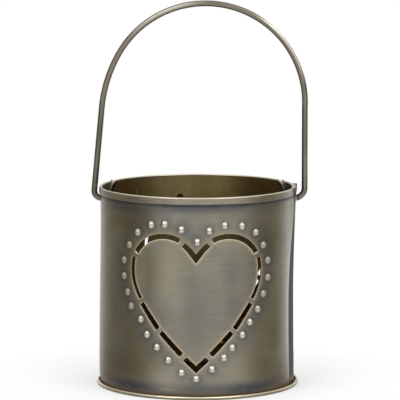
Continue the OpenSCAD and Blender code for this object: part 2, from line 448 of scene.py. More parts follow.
class Nodes:
    """A material's node tree, with short ways to add what the finishes need."""

    def __init__(self, name: str) -> None:
        """Starts a material with a Principled shader.

        Args:
            name: the finish's name.
        """
        self.material = bpy.data.materials.new(name)
        self.material.use_nodes = True
        self.tree = self.material.node_tree
        self.shader = next(n for n in self.tree.nodes if n.type == "BSDF_PRINCIPLED")

    def add(self, kind: str, **settings: object) -> bpy.types.Node:
        """Adds a node.

        Args:
            kind: Blender's name of the node's type.
            settings: properties to set on it.

        Returns:
            The node.
        """
        node = self.tree.nodes.new(kind)
        for key, value in settings.items():
            setattr(node, key, value)
        return node

    def link(self, source: object, target: object) -> None:
        """Links an output socket to an input socket."""
        self.tree.links.new(source, target)

    def feed(self, socket: bpy.types.NodeSocket, value: object) -> None:
        """Links a socket to another, or sets it.

        Args:
            socket: the input.
            value: an output socket, a number or a colour.
        """
        if isinstance(value, bpy.types.NodeSocket):
            self.link(value, socket)
        elif isinstance(value, tuple) and len(value) == 3 and socket.type == "RGBA":
            socket.default_value = (*value, 1.0)
        else:
            socket.default_value = value

    def mask(self, name: str) -> bpy.types.NodeSocket:
        """One of the mesh's masks of wear, stains and painted light."""
        return self.add("ShaderNodeAttribute", attribute_name=name).outputs["Fac"]

    def polish(self, colour: object, roughness: object, dull: bpy.types.NodeSocket | None = None) -> None:
        """Feeds the metal's colour, roughness and shine.

        Args:
            colour: the base colour.
            roughness: the roughness.
            dull: where the metal doesn't shine, if anywhere, such as rust and the wall's painted shade beside
                the lap.
        """
        self.feed(self.shader.inputs["Base Color"], colour)
        self.feed(self.shader.inputs["Roughness"], roughness)
        self.feed(self.shader.inputs["Metallic"], 1.0)
        if dull is not None:
            shiny = self.math("SUBTRACT", 1.0, dull)
            self.feed(self.shader.inputs["Metallic"], shiny)
            self.feed(self.shader.inputs["Specular IOR Level"], self.math("MULTIPLY", shiny, 0.5))

    def math(self, operation: str, a: object, b: object = 0.0, clamp: bool = False) -> bpy.types.NodeSocket:
        """Arithmetic on two values.

        Args:
            operation: Blender's name of the operation.
            a: first number or socket.
            b: second number or socket.
            clamp: True to keep the result between 0 and 1.

        Returns:
            The result's socket.
        """
        node = self.add("ShaderNodeMath", operation=operation, use_clamp=clamp)
        self.feed(node.inputs[0], a)
        self.feed(node.inputs[1], b)
        return node.outputs[0]

    def mix(self, factor: object, a: object, b: object) -> bpy.types.NodeSocket:
        """Mixes two colours.

        Args:
            factor: the second one's share.
            a: first colour or socket.
            b: second colour or socket.

        Returns:
            The mixed colour's socket.
        """
        node = self.add("ShaderNodeMix", data_type="RGBA")
        self.feed(node.inputs["Factor"], factor)
        self.feed(node.inputs[6], a)
        self.feed(node.inputs[7], b)
        return node.outputs[2]

    def span(self, value: object, low: float, high: float, to_low: float = 0.0, to_high: float = 1.0
             ) -> bpy.types.NodeSocket:
        """Maps one span of values to another, clamped.

        Args:
            value: the socket to map.
            low: its value that gives to_low.
            high: its value that gives to_high.
            to_low: result at low.
            to_high: result at high.

        Returns:
            The result's socket.
        """
        node = self.add("ShaderNodeMapRange", clamp=True)
        for socket, v in zip(node.inputs[:5], (value, low, high, to_low, to_high)):
            self.feed(socket, v)
        return node.outputs[0]

    def noise(self, scale: tuple[float, float, float], detail: float, rough: float) -> bpy.types.NodeSocket:
        """Noise on the flat sheet.

        Args:
            scale: scale for each direction, in steps per 100 mm.
            detail: number of finer layers.
            rough: strength of the finer layers.

        Returns:
            The noise's socket.
        """
        place = self.add("ShaderNodeTexCoord").outputs["UV"]
        mapping = self.add("ShaderNodeMapping")
        mapping.inputs["Scale"].default_value = scale
        self.link(place, mapping.inputs["Vector"])
        node = self.add("ShaderNodeTexNoise")
        node.inputs["Scale"].default_value = 1.0
        node.inputs["Detail"].default_value = detail
        node.inputs["Roughness"].default_value = rough
        self.link(mapping.outputs[0], node.inputs["Vector"])
        return node.outputs["Fac"]

    def bump(self, height: bpy.types.NodeSocket, depth_mm: float, strength: float,
             under: bpy.types.NodeSocket | None = None) -> bpy.types.NodeSocket:
        """Bump of a given depth.

        Args:
            height: the socket that gives the height, from 0 to 1.
            depth_mm: depth in millimetres.
            strength: share of it that shows.
            under: the normal that it is put on, where there is one.

        Returns:
            The normal's socket.
        """
        node = self.add("ShaderNodeBump")
        node.inputs["Distance"].default_value = depth_mm * MM
        node.inputs["Strength"].default_value = strength
        self.link(height, node.inputs["Height"])
        if under is not None:
            self.link(under, node.inputs["Normal"])
        return node.outputs["Normal"]


@dataclass(frozen=True)
class WallFinish:
    """Antiqued brass plate, brushed round the wall, with blue-grey patina and edges polished bright, and with
    painted shade, tint, reflection bands and highlights from its masks.
    """

    name: str = "antiqued_brass_outside"
    brass: Colour = (0.290, 0.256, 0.180)
    lifted: Colour = (0.362, 0.344, 0.268)
    olive: Colour = (0.225, 0.205, 0.082)
    patina: Colour = (0.160, 0.171, 0.186)
    deep_blue: Colour = (0.045, 0.055, 0.084)
    dark: Colour = (0.060, 0.058, 0.050)
    silver: Colour = (0.66, 0.63, 0.54)
    # edges polished bright beside the slots, partly a painted highlight
    rubbed: Colour = (0.56, 0.445, 0.290)
    rust: Colour = (0.112, 0.066, 0.038)
    tan: Colour = (0.46, 0.42, 0.32)
    # painted shade on the front heart's outer studs
    turned_stud_shade: Colour = (0.205, 0.19, 0.15)
    # bright cut edge with a painted highlight where it looks up
    burr: Colour = (0.94, 0.88, 0.78)
    # painted shade beside the seam's lap
    soot: Colour = (0.075, 0.078, 0.070)
    pale: Colour = (0.42, 0.42, 0.387)
    brown: Colour = (0.122, 0.088, 0.049)
    roughness: float = 0.34

    def make(self) -> bpy.types.Material:
        """Builds the material.

        Returns:
            The material.
        """
        n = Nodes(self.name)
        cloud = n.noise((6, 9, 1), 5, 0.6)
        drift = n.noise((2.2, 3.5, 1), 3, 0.5)
        grain = n.noise((22, 420, 1), 4, 0.65)
        streak = n.noise((6, 150, 1), 5, 0.7)
        colour = n.mix(n.span(cloud, 0.35, 0.68), self.brass, self.lifted)
        colour = n.mix(n.math("MULTIPLY", n.mask("panel"), 0.35), colour, self.lifted)
        colour = n.mix(n.mask("olive"), colour, self.olive)
        blue = n.math("MULTIPLY", n.mask("patina"), n.span(cloud, 0.28, 0.6, 0.45, 1.0), clamp=True)
        blue = n.math("MAXIMUM", blue, n.span(drift, 0.52, 0.75, 0.0, 0.45))
        colour = n.mix(blue, colour, self.patina)
        colour = n.mix(n.mask("pale"), colour, self.pale)
        colour = n.mix(n.mask("brown"), colour, self.brown)
        # blue patina, with painted shade under the rim's fold and round the studs
        deep = n.math("MULTIPLY", n.mask("deep"), n.span(cloud, 0.2, 0.55, 0.6, 1.0), clamp=True)
        colour = n.mix(deep, colour, self.deep_blue)
        colour = n.mix(n.mask("grime"), colour, self.dark)
        colour = n.mix(n.span(streak, 0.36, 0.72, 0.0, 0.26), colour, self.dark)
        colour = n.mix(n.span(grain, 0.4, 0.75, 0.0, 0.22), colour, self.lifted)
        # Painted light among these: shade on the front heart's outer studs and beside the seam's lap;
        # highlights on the stud caps, beside the slots and on the edges that look up.
        for mask, over in (("tan", self.tan), ("matte", self.turned_stud_shade), ("cap", self.silver),
                           ("rust", self.rust), ("edge", self.rubbed), ("burr", self.burr),
                           ("soot", self.soot)):
            colour = n.mix(n.mask(mask), colour, over)
        rough = n.span(grain, 0.3, 0.7, self.roughness - 0.05, self.roughness + 0.06)
        for mask, rise in (("deep", 0.12), ("cap", -0.06), ("soot", 0.4), ("matte", 0.2)):
            rough = n.math("ADD", rough, n.math("MULTIPLY", n.mask(mask), rise))
        n.polish(colour, rough, n.math("MAXIMUM", n.mask("soot"), n.mask("rust")))
        fine = n.bump(grain, 0.010, 0.5)
        n.feed(n.shader.inputs["Normal"], n.bump(n.noise((6, 10, 1), 2, 0.5), 0.12, 0.25, fine))
        return n.material


@dataclass(frozen=True)
class InsideFinish:
    """The wall's inner face: olive-brown plate with painted shade low down, in the studs' hollows, under the
    rim and towards the sides, and one thin bright streak.

    The streak is given by its place round the wall and the heights of its two ends.
    """

    name: str = "antiqued_brass_inside"
    brass: Colour = (0.36, 0.28, 0.125)
    lifted: Colour = (0.50, 0.395, 0.185)
    dark: Colour = (0.12, 0.095, 0.042)
    streak_tone: Colour = (0.75, 0.68, 0.50)
    # painted shade on the inner face
    black: Colour = (0.155, 0.096, 0.032)
    light_streak: tuple[float, float, float] = (-97.4, 72.8, 77.3)
    roughness: float = 0.46

    def make(self) -> bpy.types.Material:
        """Builds the material.

        Returns:
            The material.
        """
        n = Nodes(self.name)
        cloud = n.noise((9, 5, 1), 4, 0.6)
        grain = n.noise((70, 140, 1), 4, 0.7)
        colour = n.mix(n.span(cloud, 0.35, 0.7), self.brass, self.lifted)
        colour = n.mix(n.span(grain, 0.4, 0.75, 0.0, 0.4), colour, self.dark)
        colour = n.mix(n.mask("unrubbed"), colour, self.black)
        place = n.add("ShaderNodeSeparateXYZ")
        n.link(n.add("ShaderNodeTexCoord").outputs["UV"], place.inputs[0])
        s, low, high = (v / SHEET_UNIT for v in self.light_streak)
        away = n.math("ABSOLUTE", n.math("SUBTRACT", place.outputs["X"], s))
        beyond = n.math("ABSOLUTE", n.math("SUBTRACT", place.outputs["Y"], (low + high) / 2))
        line = n.math("MULTIPLY", n.span(away, 0.0006, 0.0020, 0.55, 0.0),
                      n.span(beyond, (high - low) / 2 - 0.006, (high - low) / 2, 1.0, 0.0))
        colour = n.mix(line, colour, self.streak_tone)
        n.polish(colour, n.span(grain, 0.3, 0.7, self.roughness - 0.05, self.roughness + 0.08))
        n.feed(n.shader.inputs["Normal"], n.bump(grain, 0.012, 0.5))
        return n.material


@dataclass(frozen=True)
class BrassFinish:
    """Plain brass-coloured metal with a soft variation, for cut edges, rim, base and wire, with wear, rust,
    painted highlights and painted shade from the masks.
    """

    name: str
    shade: Colour
    colour: Colour
    rubbed: Colour
    dark: Colour
    roughness: float
    grain: tuple[float, float, float] = (5.0, 60.0, 1.0)
    bump_mm: float = 0.01
    rust: Colour = (0.115, 0.062, 0.034)

    def make(self) -> bpy.types.Material:
        """Builds the material.

        Returns:
            The material.
        """
        n = Nodes(self.name)
        cloud = n.noise(self.grain, 4, 0.6)
        colour = n.mix(n.span(cloud, 0.35, 0.65), self.shade, self.colour)
        for mask, over in (("rubbed", self.rubbed), ("grime", self.dark), ("dull", self.dark),
                           ("rust", self.rust)):
            colour = n.mix(n.mask(mask), colour, over)
        rough = n.span(cloud, 0.3, 0.7, self.roughness - 0.04, self.roughness + 0.06)
        n.polish(colour, rough, n.mask("rust"))
        n.feed(n.shader.inputs["Normal"], n.bump(cloud, self.bump_mm, 0.6))
        return n.material


# The part


@dataclass
class Heart:
    """One pierced heart with its row of studs, on the flat sheet."""

    middle: float
    nudges: dict[int, tuple[float, float]] = field(default_factory=dict)
    tip_z: float = 12.4
    slot_w: float = 2.3
    side_slot_w: float = 1.7
    lobe_slot_w: float = 2.2
    corner: float = 0.45
    half_w: float = 37.0
    low: float = 5.5
    high: float = 74.5
    studs: tuple[tuple[float, float], ...] = (
        (0, -4), (-6, -1.5), (-11.5, 3.5), (-16.5, 8.5), (-21, 13.5), (-24, 19.5), (-29, 24.5), (-31, 30),
        (-33, 36.5), (-33, 43), (-30, 49.5), (-25.5, 55), (-19, 58.5), (-13, 59), (-6, 57), (0.5, 52),
        (5.5, 56.5), (12, 58.5), (19.5, 58), (26, 55), (30, 49.5), (32.5, 43), (32.5, 36), (30, 29.5),
        (27, 23.5), (23, 18.5), (19.5, 13.5), (15, 8.5), (11.5, 4.5), (6.5, 0))

    def place(self, points: Pairs | Points) -> Points:
        """Moves points from the heart's own grid to the flat sheet."""
        return np.array(points, float) + np.array([self.middle, self.tip_z])

    def stud_places(self) -> Points:
        """The studs' places.

        Returns:
            Their middles on the flat sheet.
        """
        places = self.place(self.studs)
        for number, nudge in self.nudges.items():
            places[number] += nudge
        return places

    def slots(self) -> list[Points]:
        """Outlines of the heart's ten slots.

        Returns:
            Ten closed outlines on the flat sheet.
        """
        lobe = arc(13.3, 39.6, 14.5, 29, 117, 12)
        side = arc(7.5, 39.9, 20.25, -35.8, 14.2, 9)
        lower = [(15.9, 16.2), (23.3, 26.1)]
        bottom = [(6.0, 5.8), (14.6, 14.8)]
        tip = [(-4.5, 4.3), (0.0, 0.0), (4.5, 4.3)]
        notch = [(-5.1, 51.0), (-2.4, 48.3), (0.0, 45.1), (2.4, 48.3), (5.1, 51.0)]
        lines = [(line, width) for half, width in ((lobe, self.lobe_slot_w), (side, self.side_slot_w),
                                                   (lower, self.slot_w), (bottom, self.slot_w))
                 for line in (half, mirrored(half))] + [(tip, self.slot_w), (notch, self.slot_w)]
        return [resampled(self.place(stroke(line, width, self.corner)), CUT_STEP) for line, width in lines]

    def panel(self) -> Points:
        """The plain panel inside the slots.

        Returns:
            Its outline on the flat sheet.
        """
        half = arc(7.5, 39.9, 19.3, -34, 13, 6) + arc(13.3, 39.6, 13.2, 31, 117, 8) + [(2.3, 48.0), (0, 44.5)]
        line = [(0.0, 1.0), (15.0, 16.8), *half]
        return self.place(line + mirrored(line[1:-1]))

    def near(self, points: Points) -> np.ndarray:
        """Which points lie in the stretch of the sheet that the heart and its studs take up."""
        return (np.abs(points[:, 0] - self.middle) < self.half_w) & (points[:, 1] > self.low) & (
            points[:, 1] < self.high)


@dataclass
class Wall:
    """The rolled sheet with its two pierced hearts and its lapped side seam, down to the crimp at its foot.

    A stain, a painted band or a painted highlight line is given by its place, height, half width, half height
    and strength.
    """

    radius: float = 40.0
    foot_radius: float = 40.4
    height: float = 82.5
    sheet: float = 0.5
    skirt_top: float = 81.6
    foot_z: float = 1.0
    hole_z: float = 77.3
    hole_r: float = 1.75
    stud_r: float = 1.4
    stud_h: float = 0.88
    front_shift: float = -0.5
    back_angle: float = 173.6
    lap_low: float = 71.0
    lap_high: float = 76.4
    under: float = 3.0
    seam_end: tuple[float, float] = (75.5, 79.0)
    edge_step: float = 0.1
    edge_raised: float = 0.19
    edge_rolled: float = 0.25
    edge_lean: float = 0.8  # share of the skin's normal in the openings' edges
    plain_step: float = 1.25
    fine_step: float = 0.62
    stud_rings: tuple[tuple[float, int], ...] = (
        (0.001, 1), (0.3, 8), (0.6, 14), (0.88, 20), (1.1, 24), (1.27, 28), (1.42, 28), (1.62, 28))
    cut_rings: tuple[float, ...] = (0.10, 0.24, 0.46)
    stud_clear: float = 1.65
    cut_clear: float = 0.65
    ring_clear: float = 0.08
    # Partly stains, partly a painted tint of the reflected surroundings: olive towards the sides, blue in the
    # middle.
    olive_stains_and_side_tint: tuple[Spot, ...] = (
        (36.6, 27.0, 3.2, 10.0, 1.0), (33.0, 62.0, 7.0, 6.0, 0.45), (-30.0, 70.0, 7.0, 5.0, 0.5),
        (-14.0, 52.0, 8.0, 8.0, 0.35), (-30.0, 14.0, 8.0, 6.0, 0.4), (24.0, 12.0, 10.0, 5.0, 0.45),
        (46.5, 24.0, 4.0, 12.0, 0.3))
    blue_stains_and_middle_tint: tuple[Spot, ...] = (
        (14.0, 37.0, 5.0, 8.0, 0.7), (8.0, 60.0, 6.0, 3.0, 0.3), (-6.0, 67.0, 9.0, 3.0, 0.4),
        (-40.0, 40.0, 5.0, 14.0, 0.5), (-8.0, 24.0, 4.0, 4.0, 0.3), (-14.0, 34.0, 6.0, 4.0, 0.5),
        (1.0, 34.0, 14.0, 15.0, 0.58), (13.5, 51.0, 4.0, 9.0, 0.6), (-23.5, 43.0, 4.0, 8.0, 0.4))
    # Painted reflections: tall pale bands where the wall turns to the sides.
    pale_reflection_bands: tuple[Spot, ...] = (
        (48.0, 40.0, 5.0, 60.0, 0.95), (-46.0, 46.0, 7.0, 20.0, 0.25))
    # a painted highlight line low on the front
    low_highlight_line: tuple[Spot, ...] = ((-12.0, 3.7, 3.6, 0.38, 0.5),)
    tan_stains: tuple[Spot, ...] = (
        (-25.5, 50.0, 3.8, 12.0, 0.95), (-13.0, 50.0, 6.0, 12.0, 0.5), (-13.0, 9.0, 7.0, 6.0, 0.4),
        (16.0, 14.0, 8.0, 7.0, 0.3), (-10.0, 40.0, 5.0, 5.0, 0.3), (35.0, 34.0, 6.0, 16.0, 0.22),
        (-16.0, 72.0, 5.0, 4.0, 0.3), (14.0, 71.0, 8.0, 4.0, 0.25))
    # Brown stains high up; the broad ones low on both sides are painted shade.
    brown_stains_and_shade: tuple[Spot, ...] = (
        (-44.0, 4.0, 23.0, 13.0, 0.82), (42.0, 5.0, 15.0, 9.0, 0.62), (-28.0, 72.0, 14.0, 5.0, 0.3),
        (34.0, 64.0, 9.0, 8.0, 0.16), (34.0, 5.5, 8.0, 3.0, 0.4))

    def __post_init__(self) -> None:
        """Puts the two hearts and the bail's holes on the sheet."""
        back = math.radians(self.back_angle - 360.0) * self.radius
        self.hearts = [Heart(self.front_shift), Heart(back, {17: (0.0, 1.6)})]
        self.studs = np.concatenate([h.stud_places() for h in self.hearts])
        self.cuts = [loop for h in self.hearts for loop in h.slots()]
        self.panels = [h.panel() for h in self.hearts]
        quarter = math.pi / 2 * self.radius
        self.holes = [circle((side * quarter, self.hole_z), self.hole_r, 40) for side in (-1, 1)]
        self.turn = 2 * math.pi * self.radius

    def cone(self, z: np.ndarray) -> np.ndarray:
        """The plain wall's outer radius at height z."""
        return self.foot_radius + (self.radius - self.foot_radius) * np.asarray(z) / self.height

    def lap(self, z: np.ndarray) -> np.ndarray:
        """Place of the seam's edge on the flat sheet at height z."""
        angle = self.lap_low + (self.lap_high - self.lap_low) * smooth(z, 34, 76)
        return np.radians(angle) * self.radius

    def wrapped(self, s: np.ndarray) -> np.ndarray:
        """Brings a place on the flat sheet to the turn that starts at the front's opposite side."""
        return (s + self.turn / 2) % self.turn - self.turn / 2

    def under_lap(self, z: np.ndarray) -> np.ndarray:
        """How far the sheet goes on under the lap at height z."""
        return self.under * falls(z, *self.seam_end)

    def relief(self, s: np.ndarray, z: np.ndarray, raised: float = 0.03, rolled: float = 0.06) -> np.ndarray:
        """How far the sheet stands out of the plain cone.

        Args:
            s: places round the wall on the flat sheet, from under the lap to its edge.
            z: heights.
            raised: how far the slots' edges stand up on the hearts' panels.
            rolled: how far they are rolled in beyond them.

        Returns:
            The distance outwards, for each place.
        """
        out = 0.10 * np.sin(s / 11.0 + 0.6) * np.sin(z / 19.0 + 0.4) + 0.07 * np.sin(s / 6.3 + z / 31.0)
        out = out * band(z, 1, 14, 70, 79)
        out += self.seam_relief(s, z) + self.lean(s, z)
        points = np.stack([s, z], axis=1)
        for cx, cz in self.studs:
            near = (np.abs(s - cx) < 6) & (np.abs(z - cz) < 6)
            r = np.hypot(s[near] - cx, z[near] - cz)
            cap = self.stud_h * np.clip(1 - (r / (self.stud_r + 0.12)) ** 2, 0, 1) ** 1.15
            out[near] += cap - 0.06 * hump(r, 1.9, 0.75) + 0.09 * hump(r, 0, 3.6)
        panel_side = self.panel_side(points)
        for loop in self.cuts:
            d = distance(points, loop, 3.0)
            out += panel_side * raised * np.exp(-d / 0.5) - (1 - panel_side) * rolled * np.exp(-d / 0.25)
        return out

    def panel_side(self, points: Points) -> np.ndarray:
        """Where the hearts' panels are.

        Args:
            points: places on the flat sheet.

        Returns:
            1 on the panels, 0 beyond their slots, and smooth where the bridges pass.
        """
        side = np.zeros(len(points))
        for panel in self.panels:
            d = distance(points, panel, 3.0)
            side = np.maximum(side, np.where(inside(points, panel), 1.0, falls(d, 0.3, 0.9)))
        return side

    def lean(self, s: np.ndarray, z: np.ndarray) -> np.ndarray:
        """The rolled wall's own unevenness: wider low on the left, and high on the right, over the bail hole.

        Args:
            s: places round the wall.
            z: heights.

        Returns:
            The distance outwards, for each place.
        """
        place = self.wrapped(s)
        left = (0.17 + 0.26 * falls(z, 10, 70)) * hump(place, -self.turn / 4, 17)
        right = (1.45 * smooth(z, 34, 84) - 0.38 + 0.2 * falls(z, 4, 18)) * hump(place, self.turn / 4, 13)
        return (left + right) * band(z, 1.2, 5, 79.2, 80.6)

    def seam_relief(self, s: np.ndarray, z: np.ndarray) -> np.ndarray:
        """Relief round the lapped seam: the lower sheet dips, and the upper one bends down to it.

        Args:
            s: places round the wall.
            z: heights.

        Returns:
            The distance outwards, for each place.
        """
        before = self.lap(z) - s
        after = self.turn - before
        closed = falls(z, *self.seam_end)
        dip = (0.30 + 0.48 * falls(z, 52, 73) - 0.15 * falls(z, 4, 26)) * closed
        step = (self.sheet + 0.05) * closed
        low = -dip * falls(after, 4.0, 15.0) - 0.08 * closed * hump(after, 0, 1.6)
        high = (step - dip) * falls(before, 0.0, 4.5) - 0.10 * closed * hump(before, 0, 0.7)
        return np.where(after < self.turn / 2, low, high)

    def roll(self, s: np.ndarray, z: np.ndarray, out: np.ndarray) -> np.ndarray:
        """Rolls the flat sheet up.

        Args:
            s: places round the wall.
            z: heights.
            out: distances outwards from the plain cone.

        Returns:
            One row of x, y and z for each place.
        """
        a = s / self.radius
        r = self.cone(z) + out
        return np.stack([r * np.sin(a), -r * np.cos(a), z], axis=1)

    def staggered(self, start: float, end: float, step: float) -> Points:
        """Points in staggered rows all over a stretch of the sheet.

        Args:
            start: where the stretch starts round the wall.
            end: where it ends.
            step: distance between two points of a row.

        Returns:
            The points.
        """
        rows = np.arange(self.foot_z + 0.6 * step, self.skirt_top - 0.4 * step, step * 0.87)
        return np.array([(x, y) for i, y in enumerate(rows)
                         for x in np.arange(start + (i % 2) * step / 2, end, step)])

    def clear_of(self, loops: Sequence[Points], points: Points, gap: float) -> Points:
        """The points that lie on the sheet's metal.

        Args:
            loops: outlines of all openings.
            points: the points to choose from.
            gap: how far they have to be from the outlines.

        Returns:
            Those of them that are outside the openings and far enough from them.
        """
        keep = np.ones(len(points), bool)
        for loop in loops:
            keep &= (distance(points, loop, 1.0) > gap) & ~inside(points, loop)
        return points[keep]

    def plain_points(self, loops: Sequence[Points], left: Points, right: Points) -> Points:
        """Points all over the sheet, closer together at the hearts, clear of studs and openings.

        Args:
            loops: outlines of all openings.
            left: the sheet's end under the lap, from low to high.
            right: its other end, the lap's edge.

        Returns:
            The points.
        """
        coarse = self.staggered(left[:, 0].min(), right[:, 0].max(), self.plain_step)
        fine = np.concatenate([self.staggered(h.middle - h.half_w, h.middle + h.half_w, self.fine_step)
                               for h in self.hearts])
        at_heart = [np.any([h.near(points) for h in self.hearts], axis=0) for points in (coarse, fine)]
        points = np.concatenate([coarse[~at_heart[0]], fine[at_heart[1]]])
        first = np.interp(points[:, 1], left[:, 1], left[:, 0]) + 0.4
        last = self.lap(points[:, 1]) - 0.4
        keep = (points[:, 0] > first) & (points[:, 0] < last)
        for stud in self.studs:
            keep &= np.hypot(*(points - stud).T) > self.stud_clear
        return self.clear_of(loops, points[keep], self.cut_clear)

    def ring_points(self, loops: Sequence[Points]) -> Points:
        """Points in rings on the studs and in rows round the openings, clear of the openings.

        Args:
            loops: outlines of all openings.

        Returns:
            The points.
        """
        rings = [circle((cx, cz), r, n, 0.2 * k) for cx, cz in self.studs
                 for k, (r, n) in enumerate(self.stud_rings)]
        rings += [loop + around(loop) * d for loop in loops for d in self.cut_rings]
        return self.clear_of(loops, np.concatenate(rings), self.ring_clear)

    def skin_points(self) -> tuple[Points, list[np.ndarray]]:
        """Points to join into the skin.

        Returns:
            The points on the flat sheet, and the numbers of the points of each outline in order.
        """
        loops = [resampled(loop, CUT_STEP) for loop in self.cuts] + self.holes
        levels = np.linspace(self.foot_z, self.skirt_top, 80)
        right = np.stack([self.lap(levels), levels], axis=1)
        left = right - np.stack([self.turn + self.under_lap(levels), np.zeros(len(levels))], axis=1)

        def across(row: int) -> Points:
            """Points from the sheet's left end to its right one, at one row of them."""
            s = np.arange(left[row, 0] + 1.0, right[row, 0] - 0.5, 1.2)
            return np.stack([s, np.full(len(s), levels[row])], axis=1)

        border = np.concatenate([across(0), right, across(-1)[::-1], left[::-1]])
        numbers, at = [], 0
        for loop in (border, *loops):
            numbers.append(np.arange(at, at + len(loop)))
            at += len(loop)
        points = [border, *loops, self.ring_points(loops), self.plain_points(loops, left, right)]
        return np.concatenate(points), numbers

    def stud_marks(self, s: np.ndarray, z: np.ndarray) -> Masks:
        """The marks that go with the studs.

        Args:
            s: places round the wall.
            z: heights.

        Returns:
            Bright metal caps, partly a painted highlight moved towards the front, tan flanks, painted shade
            on the front heart's outer studs, which are also made rougher, the rings, halos and shadows round
            them, and the hollows on the inside.
        """
        marks = {}
        for cx, cz in self.studs:
            r = np.hypot(s - cx, z - cz)
            # The front heart's outer studs face away from the lamps: they get painted shade in place of a
            # bright cap, and each cap's bright spot is moved towards the front as a painted highlight.
            side = smooth(abs(cx), 20, 31) * np.sign(cx) * (abs(cx) < 45)
            lit_share = 1 - abs(side) * (0.75 if cx < 0 else 0.6)
            towards_front = np.hypot(s - cx + 0.45 * side, z - cz)
            for name, mark in {"cap": lit_share * falls(towards_front, 0.85, 1.5), "flank": falls(r, 1.25, 1.65),
                               "matte": 0.85 * abs(side) * falls(r, 1.2, 1.6), "ring": hump(r, 1.8, 0.4),
                               "halo": hump(r, 0, 4.4), "shadow": hump(r, 0, 3.0),
                               "hollow": falls(r, 1.1, 1.6)}.items():
                marks[name] = np.maximum(marks.get(name, 0.0), mark)
        return marks

    def cut_marks(self, points: Points) -> Masks:
        """The marks along the slots' edges.

        Args:
            points: places on the flat sheet.

        Returns:
            The polished stretch beside the slots, partly a painted highlight, a bright edge with a painted
            highlight where the edges look up, and painted shade on the edges that don't.
        """
        edge, burr, dull = (np.zeros(len(points)) for _ in range(3))
        panel_side = self.panel_side(points)
        for loop in self.cuts:
            d = distance(points, loop, 3.0)
            # Beside the slots: wear, partly a painted highlight, strongest on the panels' side.
            rubbed = np.where(panel_side > 0.5, 0.75 * hump(d, 0, 0.8), 0.32 * hump(d, 0, 1.7))
            edge = np.maximum(edge, rubbed)
            # Painted light on the cut edges: a highlight where they look up towards the lamps, shade where
            # they don't.
            up = smooth(uphill(points, loop, 0.5), 0.1, 0.45)
            burr = np.maximum(burr, up * np.exp(-d / 0.14))
            dull = np.maximum(dull, np.where(d < 0.02, 0.9 * (1 - up), 0))
        return {"edge": edge, "burr": burr, "dull": dull}

    def masks(self, s: np.ndarray, z: np.ndarray) -> Masks:
        """Where the finish shows wear, bright metal or stains, and where shade, tint, reflections and
        highlights are painted.

        Args:
            s: places round the wall.
            z: heights.

        Returns:
            The strength of each mark at each place.
        """
        points = np.stack([s, z], axis=1)
        studs, cuts = self.stud_marks(s, z), self.cut_marks(points)
        panel = np.zeros(len(s))
        for loop in self.panels:
            plain = 1.0 - 0.3 * smooth(distance(points, loop, 9.0), 0.0, 8.0)
            panel = np.maximum(panel, np.where(inside(points, loop), plain, 0))
        place = self.wrapped(s)
        after = s - (self.lap(z) - self.turn)
        over_foot = falls(z, 2.5, 10.0) * (1 - 0.6 * hump(s, -9, 10))
        patina = np.clip(0.75 * studs["halo"] + 0.7 * smooth(z, 73.0, 79.0) + 0.6 * over_foot
                         + falls(after, 2.0, 9.0), 0, 1)
        patina = np.clip(patina * (1 - 0.8 * panel) + self.stains(self.blue_stains_and_middle_tint, s, z), 0, 1)
        foot_blue = 1.1 * falls(z, 3.8, 8.0) * hump(place, -3, 43, 4)
        foot_blue *= 0.6 + 0.4 * smooth(np.abs(s + 5), 12, 24)
        rim_blue = 0.5 * hump(z, 76.8, 2.2) * hump(place, -30, 13)
        rim_blue += 0.55 * smooth(z, 75.6, 77.8) * hump(place, 4, 17, 4)
        # Blue patina over the foot and under the rim. Painted shade, mixed with patina, in the band under the
        # rim's fold, and painted shade round the studs' feet.
        deep = 0.9 * smooth(z, 77.9, 79.3) + foot_blue + rim_blue
        deep += 0.12 * studs["ring"] + 0.2 * studs["shadow"]
        # Painted shade: the lower sheet beside the seam's lap is darkened, made dull and rougher, fading away
        # from the lap.
        soot = falls(after, 11, 24) * (0.96 - 0.25 * smooth(z, 62, 76)) * smooth(z, 2.6, 4.4)
        rust_line = 1.7 * smooth(place, 30, 52) + 0.4 * smooth(-place, 30, 52)
        from_back = np.degrees(self.turn / 2 - s % self.turn) / self.radius
        # Painted shade on the inner face: darker low down, in the studs' hollows, in a line under the rim and
        # towards the sides.
        unrubbed = np.maximum.reduce([
            0.92 * falls(z, 32, 58) * smooth(z, 3, 8.5), 0.9 * studs["hollow"], 0.35 * hump(z, 79.6, 0.3),
            (0.4 + 0.4 * smooth(z, 62, 72)) * smooth(np.abs(from_back + 6), 14, 42)])
        # At the studs' feet, a little painted shade in the crease round each.
        return {"cap": studs["cap"], "matte": studs["matte"], "grime": 0.12 * studs["ring"], "panel": panel,
                "tan": np.maximum(0.85 * studs["flank"], self.stains(self.tan_stains, s, z)),
                "edge": np.maximum(cuts["edge"], self.stains(self.low_highlight_line, s, z)),
                "burr": cuts["burr"], "dull": cuts["dull"], "patina": patina, "deep": np.clip(deep, 0, 1),
                "rust": 0.9 * falls(z - rust_line, 2.1, 3.2), "olive": self.stains(self.olive_stains_and_side_tint, s, z),
                "pale": self.stains(self.pale_reflection_bands, s, z), "brown": self.stains(self.brown_stains_and_shade, s, z),
                "soot": soot, "unrubbed": unrubbed}

    def stains(self, spots: Sequence[Spot], s: np.ndarray, z: np.ndarray) -> np.ndarray:
        """Strength of soft spots on the flat sheet: stains, and painted tint, shade, reflection bands and a
        highlight line.

        Args:
            spots: place, height, half width, half height and strength of each spot.
            s: places round the wall.
            z: heights.

        Returns:
            The strength at each place.
        """
        out = np.zeros(len(s))
        for cs, cz, ws, wz, strength in spots:
            out = np.maximum(out, strength * hump(s, cs, ws) * hump(z, cz, wz))
        return out

